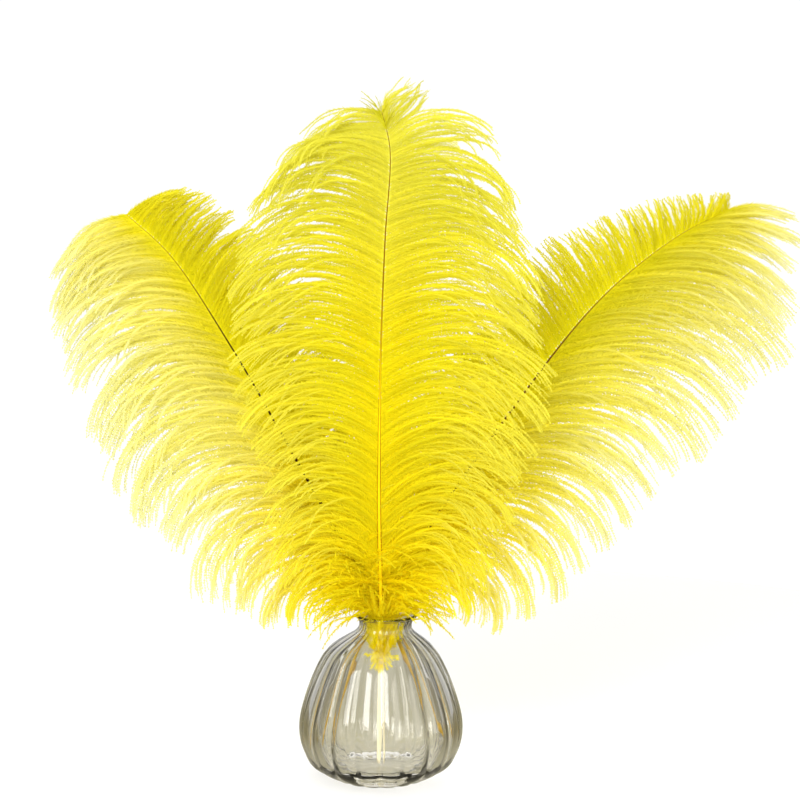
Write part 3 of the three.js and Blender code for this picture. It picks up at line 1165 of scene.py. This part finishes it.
def centre_feather(vase: BudVase) -> Feather:
    """The upright feather in front, with down in the vase's neck and short wisps at its tip.

    Args:
        vase: the vase that it stands in.

    Returns:
        The feather.
    """
    left = Vane(
        Side.LEFT,
        14.0,
        (
            (0, 78, 4, 172), (0.08, 80, 20, 150), (0.25, 72, 40, 110), (0.4, 80, 52, 92), (0.55, 92, 58, 86),
            (0.75, 88, 60, 92), (0.9, 78, 60, 114), (0.97, 62, 64, 112), (1, 40, 56, 90),
        ),
        LEMON,
        barbs=560,
        stations=68,
    )
    right = Vane(
        Side.RIGHT,
        14.0,
        (
            (0, 78, 8, 170), (0.08, 82, 22, 150), (0.25, 88, 40, 106), (0.5, 99, 58, 82),
            (0.75, 92, 60, 92), (0.88, 78, 62, 108), (0.94, 58, 62, 92), (0.97, 28, 52, 60), (1, 18, 20, 40),
        ),
        LEMON,
        barbs=560,
        stations=68,
    )
    tufts = (
        Tuft("neck_down", GOLDEN_DOWN, 240, (-0.04, 0.04), (12, 28), (8, 44), (-20, 14), barbule=4.2),
        Tuft("hanging_down", GOLDEN_DOWN, 34, (-0.03, 0.0), (6, 11), (110, 168), (-20, 30), stations=16),
        Tuft(
            "foot_down", GOLDEN_DOWN, 190, (0.03, 0.13), (24, 54), (30, 64), (60, 120),
            (150, 390), stations=44,
        ),
        Tuft(
            "lip_down", GOLDEN_DOWN, 240, (0.068, 0.125), (18, 50), (60, 96), (14, 64),
            (135, 405), stations=36,
        ),
        Tuft("tip_wisps", TIP_LEMON, 30, (0.955, 1.0), (9, 21), (4, 80), (-40, 60), barbule=1.8),
    )
    knots = (
        (0.5, -5, 4.9), (0.2, -8.2, 94.5), (-0.8, -12, 163), (0.4, -18, 250), (2.8, -21, 310.6),
        (5.6, -19, 360), (1, -7, 381),
    )
    return Feather(vase, "centre_feather", 0, knots, 73.7, (0, -1, 0), (left, right), tufts, BRIGHT_HORN)


def left_feather(vase: BudVase) -> Feather:
    """The feather that leans to the left: long pale barbs on its outside and short upright ones inside.

    Args:
        vase: the vase that it stands in.

    Returns:
        The feather.
    """
    left = Vane(
        Side.LEFT,
        10.0,
        (
            (0, 76, 28, 132), (0.15, 100, 32, 124), (0.4, 113, 35, 112), (0.65, 104, 36, 104),
            (0.85, 84, 41, 92), (1, 54, 50, 60),
        ),
        LEMON_PAINTED_BACKLIGHT,
        barbule=3.5,
        gather=0.88,
    )
    right = Vane(
        Side.RIGHT,
        -2.0,
        (
            (0, 44, 22, 70), (0.2, 60, 44, 50), (0.45, 62, 50, 42), (0.7, 53, 54, 40),
            (0.88, 40, 66, 40), (1, 31, 98, 40),
        ),
        LEMON_PAINTED_SHADE,
        barbule=3.3,
        stations=46,
        gather=0.25,
        looseness=0.4,
    )
    knots = (
        (41, -4, 22.2), (3, -4.2, 93.3), (-47.8, 0, 183.7), (-86, 8, 249.6), (-120.5, 16, 300.5),
        (-146, 23, 323.5),
    )
    vanes, down = (left, right), (SIDE_DOWN,)
    return Feather(vase, "left_feather", 1, knots, 91.0, (-0.1, -1, 0), vanes, down, DARK_HORN)


def right_feather(vase: BudVase) -> Feather:
    """The feather that leans to the right: short upright barbs on top and long hanging ones below.

    Args:
        vase: the vase that it stands in.

    Returns:
        The feather.
    """
    left = Vane(
        Side.LEFT,
        -8.0,
        (
            (0, 44, 26, 80), (0.2, 60, 54, 46), (0.45, 57, 64, 24), (0.7, 43, 70, 16),
            (0.88, 24, 66, 14), (1, 12, 30, 14),
        ),
        LEMON_PAINTED_SHADE,
        barbule=3.3,
        stations=42,
        gather=0.25,
        looseness=0.4,
    )
    right = Vane(
        Side.RIGHT,
        10.0,
        (
            (0, 78, 26, 134), (0.15, 106, 29, 114), (0.4, 122, 31, 92), (0.65, 121, 31, 78),
            (0.85, 90, 26, 66), (1, 36, 6, 34),
        ),
        LEMON_PAINTED_SOFT_BACKLIGHT,
        barbule=3.5,
        stations=72,
        gather=0.88,
    )
    knots = (
        (-38, -0.6, 14.2), (-5.1, -0.4, 92.1), (64, 8, 196.4), (126, 19, 274.6), (171.5, 27, 310.9),
        (200, 33, 325),
    )
    vanes, down = (left, right), (SIDE_DOWN,)
    return Feather(vase, "right_feather", 2, knots, 96.0, (0.1, -1, 0), vanes, down, BROWN_HORN)


# The studio


@dataclass
class Studio:
    """A plain white floor with painted shade that only the glass shows, soft light and the camera, all in
    metres.
    """

    floor_radius: float = 0.6
    floor_drop: float = 0.00005
    floor_sides: int = 96
    floor_white: tuple[float, ...] = (0.9, 0.9, 0.9, 1.0)
    # Painted shade: the floor's warm grey as the glass shows it, darker to the sides.
    floor_painted_shade_middle: tuple[float, ...] = (0.42, 0.395, 0.29, 1.0)
    floor_painted_shade_aside: tuple[float, ...] = (0.17, 0.148, 0.08, 1.0)
    room_white: tuple[float, ...] = (0.98, 0.98, 0.97, 1.0)
    room_dark: tuple[float, ...] = (0.38, 0.37, 0.33, 1.0)
    room_below: tuple[float, ...] = (0.46, 0.44, 0.36, 1.0)
    room_strength: float = 1.05
    lights_look_at: Point = (0.0, 0.0, 0.2)
    camera_at: Point = (0.01107, -1.12983, 0.35766)
    camera_pitch: float = 7.0
    focal_length: float = 90.0
    sensor: float = 36.0

    def build_floor(self) -> None:
        """A round white sheet under the foot, as a fan of triangles. Through the glass it shows warm grey and
        darker to the sides: painted shade for the ribs to bend into streaks.
        """
        material, tree, shader, _ = new_material("White_Floor_Painted_Glass_Shade")
        where = tree.add("ShaderNodeSeparateXYZ")
        tree.link(tree.add("ShaderNodeTexCoord").outputs["Object"], where.inputs[0])
        # Painted shade seen only through the glass: every ray but the camera's and diffuse ones finds the
        # floor warm grey, darker aside.
        aside = tree.ramp(tree.math("ABSOLUTE", where.outputs["X"]), 0.015, 0.11)
        painted_shade_through_glass = tree.mix(aside, self.floor_painted_shade_middle, self.floor_painted_shade_aside)
        path = tree.add("ShaderNodeLightPath")
        plain = tree.math("MAXIMUM", path.outputs["Is Camera Ray"], path.outputs["Is Diffuse Ray"])
        tree.link(tree.mix(plain, painted_shade_through_glass, self.floor_white), shader.inputs["Base Color"])
        shader.inputs["Roughness"].default_value = 0.9
        shader.inputs["Specular IOR Level"].default_value = 0.1
        sides, radius, level = self.floor_sides, self.floor_radius / MM, -self.floor_drop / MM
        turn = np.arange(sides) * 2.0 * math.pi / sides
        rim = np.stack([radius * np.cos(turn), radius * np.sin(turn), np.full(sides, level)], axis=1)
        points = np.concatenate([rim, [[0.0, 0.0, level]]])
        here = np.arange(sides)
        faces = np.stack([here, (here + 1) % sides, np.full(sides, sides)], axis=1)
        add_piece("studio_floor", points, faces, material)

    def build_light(self, name: str, at: Point, size: float, watts: float) -> None:
        """A square soft light that looks at the feathers.

        Args:
            name: the light's name.
            at: where it hangs.
            size: the length of its side.
            watts: its power.
        """
        data = bpy.data.lights.new(name, "AREA")
        data.shape = "SQUARE"
        data.size = size
        data.energy = watts
        lamp = bpy.data.objects.new(name, data)
        away = np.array(at) - np.array(self.lights_look_at)
        lamp.location = at
        lamp.rotation_euler = (
            math.acos(away[2] / np.linalg.norm(away)), 0.0, math.atan2(away[1], away[0]) + math.pi / 2
        )
        bpy.context.scene.collection.objects.link(lamp)

    def build_world(self) -> None:
        """A white room, darker at the sides, below and near the camera, behind a pure white background."""
        world = bpy.data.worlds.new("White_Room")
        bpy.context.scene.world = world
        world.use_nodes = True
        world.node_tree.nodes.clear()
        tree = Tree(world.node_tree)
        output = tree.add("ShaderNodeOutputWorld")
        room = tree.add("ShaderNodeBackground")
        where = tree.add("ShaderNodeSeparateXYZ")
        tree.link(tree.add("ShaderNodeTexCoord").outputs["Generated"], where.inputs[0])
        behind = tree.ramp(where.outputs["Y"], -0.5, 0.25)
        aside = tree.ramp(tree.math("ABSOLUTE", where.outputs["X"]), 0.2, 0.7)
        above = tree.ramp(where.outputs["Z"], 0.2, 0.75)
        towards_middle = tree.math("SUBTRACT", 1.0, tree.math("MULTIPLY", aside, 0.85))
        open_back = tree.math("MULTIPLY", behind, towards_middle)
        lit = tree.math("MAXIMUM", open_back, above)
        colour = tree.mix(lit, self.room_dark, self.room_white)
        below = tree.ramp(tree.math("MULTIPLY", where.outputs["Z"], -1.0), 0.0, 0.25)
        colour = tree.mix(below, colour, self.room_below)
        seen = tree.add("ShaderNodeLightPath").outputs["Is Camera Ray"]
        tree.link(tree.mix(seen, colour, (1.0, 1.0, 1.0, 1.0)), room.inputs["Color"])
        room.inputs["Strength"].default_value = self.room_strength
        tree.link(room.outputs[0], output.inputs[0])

    def build_camera(self) -> None:
        """The camera at the photograph's angle."""
        data = bpy.data.cameras.new("Camera")
        data.lens = self.focal_length
        data.sensor_width = self.sensor
        camera = bpy.data.objects.new("Camera", data)
        camera.location = self.camera_at
        camera.rotation_euler = (math.radians(90.0 - self.camera_pitch), 0.0, 0.0)
        bpy.context.scene.collection.objects.link(camera)
        bpy.context.scene.camera = camera

    def build(self) -> None:
        """Builds the whole studio."""
        self.build_floor()
        self.build_world()
        self.build_light("key_light", (-0.7, -1.5, 0.9), 1.0, 21.0)
        self.build_light("fill_light", (1.1, -1.2, 0.5), 1.2, 8.5)
        self.build_light("top_light", (0.0, 0.3, 1.6), 1.4, 5.0)
        self.build_camera()
        bpy.context.scene.view_settings.view_transform = "Standard"


def main() -> None:
    """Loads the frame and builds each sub-assembly in order."""
    logging.basicConfig(level=logging.INFO, format="%(name)s %(message)s")
    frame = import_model()
    LOG.info("frame: %d nodes", len(frame["nodes"]))
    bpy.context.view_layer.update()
    Studio().build()
    vase = BudVase()
    vase.build()
    # The barbs' colour group: dyed colour with painted shade by the shaft and painted light at the barb ends.
    dye_and_light = dye_and_light_group()
    for grow in (centre_feather, left_feather, right_feather):
        grow(vase).build(dye_and_light)


if __name__ == "__main__":
    main()
